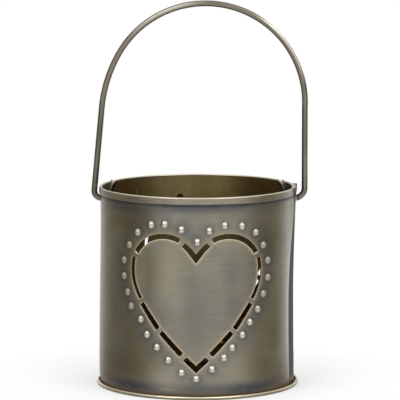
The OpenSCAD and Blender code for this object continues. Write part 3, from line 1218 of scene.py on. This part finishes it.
    def triangles(self) -> tuple[Points, np.ndarray, list[np.ndarray]]:
        """Joins the sheet's points into triangles.

        Returns:
            The points on the flat sheet, the triangles, and the numbers of each outline's points in order,
            the sheet's own border first.
        """
        points, numbers = self.skin_points()
        edges = [(int(a), int(b)) for loop in numbers for a, b in zip(loop, np.roll(loop, -1))]
        flat, _, faces, origin, _, _ = delaunay_2d_cdt(
            [Vector(p) for p in points.tolist()], edges, [], 0, 1e-5, True)
        flat = np.array([tuple(v) for v in flat])
        new_number = {old: new for new, olds in enumerate(origin) for old in olds}
        tri = np.array([f for f in faces if len(f) == 3])
        middle = flat[tri].mean(1)
        lap = self.lap(middle[:, 1])
        start = lap - self.turn - self.under_lap(middle[:, 1])
        keep = (middle[:, 0] < lap + 1e-3) & (middle[:, 0] > start - 1e-3)
        for loop in self.cuts + self.holes:
            keep &= ~inside(middle, loop)
        tri = tri[keep]
        a, b, c = (flat[tri[:, k]] for k in range(3))
        turned = (b - a)[:, 0] * (c - a)[:, 1] - (b - a)[:, 1] * (c - a)[:, 0] < 0
        tri[turned] = tri[turned][:, ::-1]
        return flat, tri, [np.array([new_number[int(i)] for i in loop]) for loop in numbers]

    def skin_normals(self, flat: Points, openings: Sequence[np.ndarray]) -> np.ndarray:
        """Normals of the outer skin, with sharper edges at the openings than its points have.

        Args:
            flat: the points on the flat sheet.
            openings: the numbers of each opening's points.

        Returns:
            A unit normal for each point.
        """
        place = flat.copy()
        for ids in openings:
            place[ids] += self.edge_step * around(flat[ids])
        step, (s, z) = 0.03, place.T
        left, right, low, high = (
            self.roll(s + ds, z + dz, self.relief(s + ds, z + dz, self.edge_raised, self.edge_rolled))
            for ds, dz in ((-step, 0), (step, 0), (0, -step), (0, step)))
        return unit(np.cross(right - left, high - low))

    def build(self) -> bpy.types.Object:
        """Makes the wall as one piece: its outer skin, its inner skin and the cut edges between them.

        Returns:
            The wall.
        """
        flat, tri, (border, *openings) = self.triangles()
        normal = self.skin_normals(flat, openings)
        s, z = flat.T
        out, masks = self.relief(s, z), self.masks(s, z)
        draft = MeshDraft()
        outer = draft.add_verts(self.roll(s, z, out), flat, masks)
        inner = draft.add_verts(self.roll(s, z, out - self.sheet), flat, masks)
        draft.add_faces(tri + outer, 0, normal[tri])
        back = tri[:, ::-1]
        draft.add_faces(back + inner, 1, -normal[back])
        xyz = np.concatenate(draft.verts)
        for ids, lean in ((border, 0.0), *((ids, self.edge_lean) for ids in openings)):
            after = np.roll(ids, -1)
            quads = np.stack([outer + after, outer + ids, inner + ids, inner + after], axis=1)
            first, second, third = (xyz[quads[:, k]] for k in range(3))
            straight = unit(np.cross(second - first, third - first))
            corners = np.repeat(straight[:, None, :], 4, axis=1)
            corners[:, 0] += lean * normal[after]
            corners[:, 1] += lean * normal[ids]
            draft.add_faces(quads, 2, corners)
        # Bright cut metal; the edges that don't look up get painted shade from their mask.
        cut_edge = BrassFinish("cut_brass_edge", (0.78, 0.72, 0.60), (0.90, 0.85, 0.74), (0.9, 0.85, 0.75),
                               (0.08, 0.065, 0.04), 0.42)
        wall = draft.build("wall", [WallFinish().make(), InsideFinish().make(), cut_edge.make()])
        LOG.info("wall: %d skin points, %d triangles", len(flat), 2 * len(tri))
        return wall


Shift = Callable[[np.ndarray, np.ndarray, np.ndarray], tuple[np.ndarray, np.ndarray]]
Marks = Callable[[np.ndarray, np.ndarray, np.ndarray], Masks]


@dataclass
class Turning:
    """A profile turned about the wall's axis, with hand-made unevenness.

    The shift gives radius and height, and the marks give the masks of wear and painted light, both from
    angle, radius and height.
    """

    profile: Pairs
    shift: Shift
    marks: Marks
    segments: int = 480
    closed: bool = True
    sheet_r: float = 40.0

    def build(self, name: str, material: bpy.types.Material) -> bpy.types.Object:
        """Makes the turned piece.

        Args:
            name: the piece's name.
            material: its material.

        Returns:
            The new object.
        """
        profile = np.array(self.profile, float)
        angle = np.linspace(0, 2 * np.pi, self.segments, endpoint=False)
        length = np.concatenate([[0], np.cumsum(np.hypot(*np.diff(profile, axis=0).T))])
        a, run = (grid.T for grid in np.meshgrid(angle, length))
        r0, z0 = (np.repeat(profile[None, :, k], self.segments, axis=0) for k in range(2))
        r, z = self.shift(a, r0, z0)
        xyz = np.stack([r * np.sin(a), -r * np.cos(a), z], axis=2)
        uv = np.stack([a * self.sheet_r, run], axis=2)
        quads, normals = grid_skin(xyz, True, self.closed)
        draft = MeshDraft()
        draft.add_verts(xyz.reshape(-1, 3), uv.reshape(-1, 2),
                        {key: mask.reshape(-1) for key, mask in self.marks(a, r0, z0).items()})
        draft.add_faces(quads, 0, normals[quads])
        return draft.build(name, [material])


@dataclass
class Rim:
    """The wall's top edge folded outwards, with its overlapped ends over the right bail hole."""

    inner_r: float = 39.5
    fold_r: float = 40.7
    bottom: float = 79.6
    top: float = 82.5
    corner: float = 0.28
    tab_out: float = 0.42
    tab_splay: float = 0.95
    tab_from: float = 77.0
    tab_to: float = 102.0

    def profile(self) -> list[tuple[float, float]]:
        """The fold's section, from inside and low, over the top, to outside and low.

        Returns:
            Radius and height of each point.
        """
        r = (self.fold_r - self.inner_r) / 2
        line = [(self.inner_r + 0.25, 80.8), (self.inner_r + 0.01, 81.5)]
        line += arc(self.inner_r + r, self.top - r, r, 180, 0, 14)
        line += [(self.fold_r, 81.2), (self.fold_r, 80.6)]
        line += arc(self.fold_r - self.corner, self.bottom + self.corner, self.corner, 0, -90, 5)
        line += [(40.1, self.bottom), (39.9, self.bottom + 0.2), (39.8, 80.2)]
        return line

    def shift(self, a: np.ndarray, r: np.ndarray, z: np.ndarray) -> tuple[np.ndarray, np.ndarray]:
        """The fold's unevenness and its overlapped ends.

        Args:
            a: angles.
            r: radii.
            z: heights.

        Returns:
            The shifted radii and heights.
        """
        tab = self.tab(a)
        outer = smooth(r, 40.2, self.fold_r)
        wave = 0.035 * np.sin(7 * a + 1) + 0.025 * np.sin(17 * a + 2)
        low = falls(z, self.bottom, self.bottom + 0.6)
        square = tab * smooth(r, 40.15, 40.5) * smooth(z, 81.6, 82.0)
        thick = 0.3 * hump(np.degrees(a), 90, 10) * falls(r, 39.6, 40.0)
        height = z + outer * low * (wave + 0.04) + square * (self.top - 0.03 - z)
        stands = self.tab_out + self.tab_splay * smooth(np.degrees(a), 90.5, 100.5)
        return r + smooth(r, 40.15, 40.5) * stands * tab + 0.5 * outer * wave * (1 - tab) - thick, height

    def tab(self, a: np.ndarray) -> np.ndarray:
        """1 where the rim's overlapped ends stand out, over the right bail hole."""
        return band(np.degrees(a), self.tab_from - 1.0, self.tab_from, self.tab_to - 1.0, self.tab_to)

    def masks(self, a: np.ndarray, r: np.ndarray, z: np.ndarray) -> Masks:
        """Partly wear and partly a painted highlight along the top and the fold's inner and lower lines,
        weaker over the overlapped ends and on the left; painted shade under the fold and on its lower part,
        dark overlapped ends, and a dark line inside along the top.

        Args:
            a: angles.
            r: radii before the shift.
            z: heights before the shift.

        Returns:
            The strength of each mark at each place.
        """
        degrees = np.degrees(a)
        inner, outer = falls(r, 39.55, 39.8), smooth(r, 40.5, 40.65)
        tab = self.tab(a) * smooth(r, 40.0, 40.4)
        # Painted highlight, partly wear, along the top and the fold's lines, weaker over the overlapped ends
        # and on the left side.
        rubbed = smooth(z, 81.95, 82.35) + 0.4 * falls(np.abs(z - 79.95), 0.1, 0.3) * outer
        rubbed += inner * hump(z, 81.65, 0.16)
        rubbed *= 1 - 0.85 * band(degrees, 68, 76, 106, 120)
        rubbed *= 1 - 0.45 * band(degrees, 245, 258, 282, 295)
        # Painted shade under the fold and on its lower part; dark overlapped ends; a dark line inside along
        # the top.
        grime = falls(r, 40.25, 40.5) * falls(z, 79.9, 80.4) + 0.35 * falls(z, 79.8, 80.8)
        grime += 0.75 * self.tab(a) * outer * falls(z, 81.8, 82.2) + 0.75 * tab
        grime += 0.5 * inner * hump(z, 82.0, 0.13)
        return {"rubbed": np.clip(0.8 * rubbed, 0, 1), "grime": np.clip(grime, 0, 1),
                "rust": tab * smooth(degrees, 84, 90)}

    def build(self) -> bpy.types.Object:
        """Makes the rim.

        Returns:
            The rim.
        """
        finish = BrassFinish("rubbed_brass_rim", (0.28, 0.258, 0.210), (0.42, 0.38, 0.295),
                             (0.72, 0.65, 0.49), (0.05, 0.055, 0.06), 0.34, (9.0, 60.0, 1.0), 0.02,
                             (0.082, 0.088, 0.070))
        rim = Turning(self.profile(), self.shift, self.masks, 720).build("rim", finish.make())
        LOG.info("rim: %d faces", len(rim.data.polygons))
        return rim


@dataclass
class Base:
    """The disc whose edge is curled up and over the wall's foot and crimped."""

    edge_r: float = 42.0
    round_r: float = 0.75
    sheet: float = 0.5
    lip_r: float = 40.85

    def profile(self) -> list[tuple[float, float]]:
        """The section, from the axis underneath, round the edge, to the axis on top.

        Returns:
            Radius and height of each point.
        """
        c = self.edge_r - self.round_r
        disc = (0.02, 10, 20, 30, 36, 39, 40.3)
        line = [(r, 0.0) for r in disc]
        line += arc(c, self.round_r, self.round_r, -90, 90, 18)
        line += [(self.lip_r + 0.12, 1.5), (self.lip_r, 1.42), (self.lip_r, 1.05)]
        line += arc(c, self.round_r, self.sheet / 2, 90, -90, 6)
        return line + [(r, self.sheet) for r in reversed(disc)]

    def shift(self, a: np.ndarray, r: np.ndarray, z: np.ndarray) -> tuple[np.ndarray, np.ndarray]:
        """The crimp's unevenness: its top goes down only, and its lip both ways.

        Args:
            a: angles.
            r: radii.
            z: heights.

        Returns:
            The shifted radii and heights.
        """
        edge = smooth(r, 40.6, 41.4) * smooth(z, 0.8, 1.3)
        wave = np.sin(9 * a + 0.5) + 0.7 * np.sin(23 * a + 1.3) + 0.5 * np.sin(41 * a)
        lip = band(r, 40.5, 40.8, 40.8, 41.1) * smooth(z, 0.9, 1.2)
        return r + lip * 0.04 * wave, z - edge * 0.02 * (wave + 2.2)

    def masks(self, a: np.ndarray, r: np.ndarray, z: np.ndarray) -> Masks:
        """Bright over the crimp, less so on the right; painted shadow along the bottom, painted shade on the
        disc's top in the groove and inside the wall, and rust on the lip's inner top.

        Args:
            a: angles.
            r: radii before the shift.
            z: heights before the shift.

        Returns:
            The strength of each mark at each place.
        """
        rubbed = smooth(r, 41.15, 41.5) * smooth(z, 0.65, 1.1)
        rubbed *= 1 - 0.6 * band(np.degrees(a), 52, 70, 110, 130)
        # Painted shadow along the bottom, next to the floor, and painted shade on the disc's top in the
        # groove and inside the wall.
        grime = 0.8 * falls(z, 0.12, 0.5) + falls(r, 40.2, 40.6) * smooth(z, 0.3, 0.45)
        rust = smooth(z, 0.8, 1.0) * falls(r, 41.0, 41.2)
        return {"rubbed": rubbed, "grime": np.clip(grime, 0, 1), "rust": rust}

    def build(self) -> bpy.types.Object:
        """Makes the base.

        Returns:
            The base.
        """
        finish = BrassFinish("rubbed_brass_base", (0.24, 0.205, 0.13), (0.34, 0.295, 0.20),
                             (0.72, 0.64, 0.475), (0.045, 0.038, 0.022), 0.33, (5.0, 40.0, 1.0))
        turning = Turning(self.profile(), self.shift, self.masks, closed=False)
        base = turning.build("crimped_base", finish.make())
        LOG.info("base: %d faces", len(base.data.polygons))
        return base


@dataclass
class Bail:
    """The bent wire with its hooked ends, upright."""

    wire_r: float = 1.25
    pivot_z: float = 77.3
    wall_r: float = 40.0
    rim_z: float = 82.5
    arch_r: float = 41.1
    arch_c: tuple[float, float] = (3.35, 116.9)
    shoulder_r: float = 56.0
    shoulder_start: float = 150.0
    left_bend_r: float = 3.0
    left_bend_in: float = 0.3
    right_bend_r: float = 4.2
    right_bend_out: float = 0.25
    inner_bend_r: float = 2.8
    inner_x: float = 39.2
    tip_lean: float = 21.0
    left_tip_rise: float = 2.3
    right_tip_rise: float = 2.2
    sides: int = 28
    end_r: float = 1.025
    end_round: float = 0.22

    def centre_line(self) -> Points:
        """The wire's middle in the plane of the bail.

        Returns:
            Its points, from the right tip over the arch to the left tip.
        """
        flat = self.shoulder_r - self.arch_r
        start = math.radians(self.shoulder_start)
        shoulder_c = (self.arch_c[0] - flat * math.cos(start), self.arch_c[1] - flat * math.sin(start))
        left_c = (self.left_bend_in - self.wall_r, self.pivot_z + self.left_bend_r)
        right_c = (self.wall_r + self.right_bend_out, self.pivot_z + self.right_bend_r)
        dx, dy = left_c[0] - shoulder_c[0], left_c[1] - shoulder_c[1]
        end = 360 + math.degrees(math.atan2(dy, dx)) - math.degrees(
            math.acos((self.shoulder_r - self.left_bend_r) / math.hypot(dx, dy)))

        def tip(side: float, rise: float) -> list[tuple[float, float]]:
            """The hooked end inside the wall.

            Args:
                side: 1 on the right, -1 on the left.
                rise: how far its tip stands over the rim.

            Returns:
                Its points, from the tip to the hole.
            """
            bend = arc(-self.inner_x, self.pivot_z + self.inner_bend_r, self.inner_bend_r,
                       360 - self.tip_lean, 270, 10)
            x, y = bend[0]
            up = self.rim_z + rise - y
            lean = math.tan(math.radians(self.tip_lean))
            return [(-side * px, py) for px, py in
                    [(x + up * lean * k, y + up * k) for k in (1, 0.66, 0.33)] + bend]

        line = tip(1, self.right_tip_rise)
        line += arc(*right_c, self.right_bend_r, -90, 0, 14)
        line += [(right_c[0] + self.right_bend_r, y)
                 for y in np.linspace(right_c[1], self.arch_c[1], 26)[1:-1]]
        line += arc(*self.arch_c, self.arch_r, 0, self.shoulder_start, 110)
        line += arc(*shoulder_c, self.shoulder_r, self.shoulder_start, end, 30)[1:]
        foot = arc(*left_c, self.left_bend_r, end, 270, 14)
        top = line[-1]
        line += [(top[0] + (foot[0][0] - top[0]) * k, top[1] + (foot[0][1] - top[1]) * k)
                 for k in np.linspace(0, 1, 16)[1:-1]]
        line = np.array(line + foot + tip(-1, self.left_tip_rise)[::-1])
        return line[np.append(True, np.linalg.norm(np.diff(line, axis=0), axis=1) > TINY)]

    def masks(self, place: Points, facing: np.ndarray) -> Masks:
        """Painted highlights along the top of the arch, on the right leg's outer side and on the left foot,
        and bright cut ends; painted shade along the sides of the hooked ends, on the right leg's inner side,
        where it meets the right hole, and on dim stretches of the arch and the left leg.

        Args:
            place: the nearest point of the wire's middle, in the plane of the bail.
            facing: direction from there to the surface.

        Returns:
            The strength of each mark at each place.
        """
        x, z = place[:, 0], place[:, 1]
        ray = place - np.array(self.arch_c)
        turn = np.degrees(np.arctan2(ray[:, 1], ray[:, 0]))
        out = (facing[:, [0, 2]] * ray).sum(1) / np.linalg.norm(ray, axis=1)
        # Painted highlights along the arch's top, the right leg's outer side and the left foot; the cut ends
        # are bright metal.
        right_bow = band(turn, 10, 24, 48, 64) * smooth(out, 0.12, 0.5)
        left_bow = 0.55 * band(turn, 88, 104, 118, 150) * hump(out, 0.15, 0.3)
        bow = (right_bow + left_bow) * (facing[:, 1] < 0) * (z > self.arch_c[1])
        # Painted shade on dim stretches of the arch and the left leg, along the hooked ends' sides, on the
        # right leg's inner side and where it meets the right hole.
        dim = 0.5 * band(turn, 46, 60, 84, 100) * smooth(out, 0.1, 0.5)
        dim += 0.4 * band(turn, 88, 104, 140, 160) * smooth(out, 0.55, 0.8)
        dim = np.maximum(dim, 0.22 * (x < -self.wall_r) * (z < self.arch_c[1]))
        hooked = (np.abs(x) < self.wall_r - 0.9) & (z < self.rim_z + 5)
        cut = hooked * smooth(z, self.rim_z + 1.8, self.rim_z + 2.1) * (facing[:, 2] > -0.2)
        right_leg = (x > self.wall_r) & (z < self.arch_c[1])
        outer_line = right_leg * smooth(facing[:, 0], 0.75, 0.95) * smooth(z, 84, 92)
        foot = hump(x, -41.9, 0.6) * (z < self.pivot_z + 2.5) * smooth(facing[:, 2], 0.05, 0.4)
        foot *= facing[:, 1] < -0.2
        side = hooked * smooth(np.abs(facing[:, 0] + 0.12), 0.3, 0.55)
        inner_line = 0.7 * right_leg * smooth(-facing[:, 0], 0.35, 0.7)
        eye = 0.75 * (x > self.wall_r) * falls(x, 41.5, 42.6) * (z < self.pivot_z + 2.0)
        rubbed = np.maximum.reduce([bow, 0.8 * cut, 0.5 * outer_line, 0.9 * foot])
        return {"rubbed": rubbed, "grime": np.maximum.reduce([side * (1 - cut), inner_line, eye, dim])}

    def build(self) -> bpy.types.Object:
        """Makes the wire as one tube with closed, slightly rounded ends.

        Returns:
            The wire.
        """
        line = self.centre_line()
        heading = unit(np.gradient(line, axis=0))
        line, heading = (np.pad(rows, ((2, 2), (0, 0)), "edge") for rows in (line, heading))
        line[2] += self.end_round * heading[2]
        line[-3] -= self.end_round * heading[-3]
        radius = np.full(len(line), self.wire_r)
        radius[[0, 1, -2, -1]] = (0.01, self.end_r, self.end_r, 0.01)
        turn = np.linspace(0, 2 * np.pi, self.sides, endpoint=False)
        middle = np.stack([line[:, 0], np.zeros(len(line)), line[:, 1]], axis=1)[:, None, :]
        across = np.stack([-heading[:, 1], np.zeros(len(line)), heading[:, 0]], axis=1)[:, None, :]
        spokes = across * np.cos(turn)[:, None] + np.array([0.0, 1.0, 0.0]) * np.sin(turn)[:, None]
        outward = radius[:, None, None] * spokes
        run = np.concatenate([[0], np.cumsum(np.linalg.norm(np.diff(line, axis=0), axis=1))])
        uv = np.stack([grid.T for grid in np.meshgrid(run, turn * self.wire_r)], axis=2)
        quads, normals = grid_skin(middle + outward, False, True)
        draft = MeshDraft()
        draft.add_verts((middle + outward).reshape(-1, 3), uv.reshape(-1, 2),
                        self.masks(line.repeat(self.sides, 0), outward.reshape(-1, 3) / self.wire_r))
        draft.add_faces(quads, 0, normals[quads])
        finish = BrassFinish("satin_brass_wire", (0.20, 0.178, 0.140), (0.30, 0.272, 0.215),
                             (0.93, 0.87, 0.75), (0.032, 0.029, 0.020), 0.34, (4.0, 14.0, 1.0), 0.004)
        bail = draft.build("bail_wire", [finish.make()])
        LOG.info("bail: %d faces", len(quads))
        return bail


# The studio


@dataclass
class Studio:
    """Camera, white surroundings, soft lamps and the pale floor."""

    camera_place: tuple[float, float, float] = (0.0011, -1.30983, 0.24707)
    camera_tilt: float = 90.0 - 7.4227
    lens: float = 286.68
    floor_r: float = 0.2
    floor_fade: tuple[float, float] = (0.21, 0.5)
    floor_strength: float = 0.65
    screen_r: float = 1.6
    screen_low: float = -1.2
    screen_high: float = 1.4
    screen_sides: int = 180
    stops: tuple[tuple[float, float], ...] = (
        (-180, 1.0), (-156, 1.0), (-144, 0.64), (-130, 0.36), (-80, 0.25), (-62, 0.38), (-45, 0.68),
        (-25, 0.92), (-5, 0.66), (14, 0.92), (35, 0.80), (58, 0.66), (76, 0.31), (98, 0.30), (116, 0.48),
        (132, 1.0), (180, 1.0))
    lamp_aim: tuple[float, float, float] = (0, 0, 0.06)
    lamp_size: float = 0.8
    lamp_power: float = 6.5

    def camera(self) -> None:
        """Puts the camera at the photograph's place."""
        data = bpy.data.cameras.new("camera")
        data.sensor_width = 36.0
        data.lens = self.lens
        camera = placed("camera", data)
        camera.location = self.camera_place
        camera.rotation_euler = (math.radians(self.camera_tilt), 0, 0)
        bpy.context.scene.camera = camera

    def world(self) -> None:
        """White for what the camera, metal and glass see, and a plain soft light for the rest."""
        world = bpy.data.worlds.new("surroundings")
        world.use_nodes = True
        tree = world.node_tree
        background = next(n for n in tree.nodes if n.type == "BACKGROUND")
        background.inputs["Strength"].default_value = 1.0
        path = tree.nodes.new("ShaderNodeLightPath")
        first = tree.nodes.new("ShaderNodeMath")
        second = tree.nodes.new("ShaderNodeMath")
        first.operation = second.operation = "ADD"
        second.use_clamp = True
        tree.links.new(path.outputs["Is Camera Ray"], first.inputs[0])
        tree.links.new(path.outputs["Is Glossy Ray"], first.inputs[1])
        tree.links.new(first.outputs[0], second.inputs[0])
        tree.links.new(path.outputs["Is Transmission Ray"], second.inputs[1])
        mix = tree.nodes.new("ShaderNodeMix")
        mix.data_type = "RGBA"
        mix.inputs[6].default_value = (0.88, 0.88, 0.89, 1)
        mix.inputs[7].default_value = (1, 1, 1, 1)
        tree.links.new(second.outputs[0], mix.inputs["Factor"])
        tree.links.new(mix.outputs[2], background.inputs["Color"])
        bpy.context.scene.world = world

    def floor(self) -> None:
        """A round pale floor that fades into the white surroundings."""
        ring = circle((0, 0), self.floor_r, 96)
        mesh = bpy.data.meshes.new("floor")
        mesh.from_pydata([(x, y, 0.0) for x, y in ring], [], [tuple(range(len(ring)))])
        nodes = Nodes("pale_floor")
        for name, value in (("Base Color", (0.92, 0.92, 0.92, 1)), ("Roughness", 0.9),
                            ("Specular IOR Level", 0.1)):
            nodes.shader.inputs[name].default_value = value
        place = nodes.add("ShaderNodeTexCoord").outputs["Object"]
        far = nodes.add("ShaderNodeVectorMath", operation="LENGTH")
        nodes.link(place, far.inputs[0])
        start, end = (share * self.floor_r for share in self.floor_fade)
        nodes.link(nodes.span(far.outputs["Value"], start, end, self.floor_strength, 0.0),
                   nodes.shader.inputs["Alpha"])
        mesh.materials.append(nodes.material)
        placed("floor", mesh)

    def dark_side(self) -> None:
        """The dim side of the studio round the camera, as a standing screen that only the metal sees."""
        n = self.screen_sides
        angles = np.linspace(0, 2 * np.pi, n, endpoint=False)
        verts = [(self.screen_r * math.sin(a), -self.screen_r * math.cos(a), z)
                 for z in (self.screen_low, self.screen_high) for a in angles]
        mesh = bpy.data.meshes.new("dim_side")
        mesh.from_pydata(verts, [], [(i, (i + 1) % n, n + (i + 1) % n, n + i) for i in range(n)])
        obj = placed("dim_side", mesh)
        nodes = Nodes("dim_side")
        nodes.tree.nodes.remove(nodes.shader)
        place = nodes.add("ShaderNodeTexCoord").outputs["Object"]
        split = nodes.add("ShaderNodeSeparateXYZ")
        nodes.link(place, split.inputs[0])
        angle = nodes.math("ARCTAN2", split.outputs["X"], nodes.math("MULTIPLY", split.outputs["Y"], -1.0))
        turn = nodes.math("ADD", nodes.math("DIVIDE", angle, 2 * math.pi), 0.5)
        ramp = nodes.add("ShaderNodeValToRGB")
        elements = ramp.color_ramp.elements
        elements.remove(elements[-1])
        for k, (degrees, level) in enumerate(self.stops):
            at = (degrees + 180) / 360
            stop = elements[0] if k == 0 else elements.new(at)
            stop.position = at
            warm = falls(level, 0.15, 0.6)
            stop.color = (level, level * (1 - 0.08 * warm), level * (1 - 0.3 * warm), 1)
        nodes.link(turn, ramp.inputs["Fac"])
        emission = nodes.add("ShaderNodeEmission")
        nodes.link(ramp.outputs["Color"], emission.inputs["Color"])
        out = next(x for x in nodes.tree.nodes if x.type == "OUTPUT_MATERIAL")
        nodes.link(emission.outputs[0], out.inputs["Surface"])
        mesh.materials.append(nodes.material)
        obj.visible_camera = obj.visible_diffuse = obj.visible_shadow = False

    def lamp(self, name: str, place: tuple[float, float, float]) -> None:
        """A soft square lamp aimed at the holder.

        Args:
            name: the lamp's name.
            place: where it hangs.
        """
        data = bpy.data.lights.new(name, "AREA")
        data.size, data.energy = self.lamp_size, self.lamp_power
        lamp = placed(name, data)
        lamp.location = place
        aim = Vector(self.lamp_aim) - Vector(place)
        lamp.rotation_euler = aim.to_track_quat("-Z", "Y").to_euler()

    def build(self) -> None:
        """Sets up the whole studio."""
        self.camera()
        self.world()
        self.floor()
        self.dark_side()
        self.lamp("left_lamp", (-0.75, -0.80, 1.5))
        self.lamp("right_lamp", (0.75, -0.80, 1.5))
        LOG.info("studio: camera, surroundings, floor, screen and lamps")


def main() -> None:
    """Builds the holder and its studio in order."""
    logging.basicConfig(level=logging.INFO, format="%(message)s")
    bpy.context.scene.view_settings.view_transform = "Standard"
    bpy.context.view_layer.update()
    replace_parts(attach(Wall().build(), Body.HOLDER.value), "shell")
    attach(Rim().build(), Body.HOLDER.value)
    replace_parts(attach(Base().build(), Body.HOLDER.value), "base")
    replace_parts(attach(Bail().build(), Body.BAIL.value), "bail")
    Studio().build()


if __name__ == "__main__":
    main()
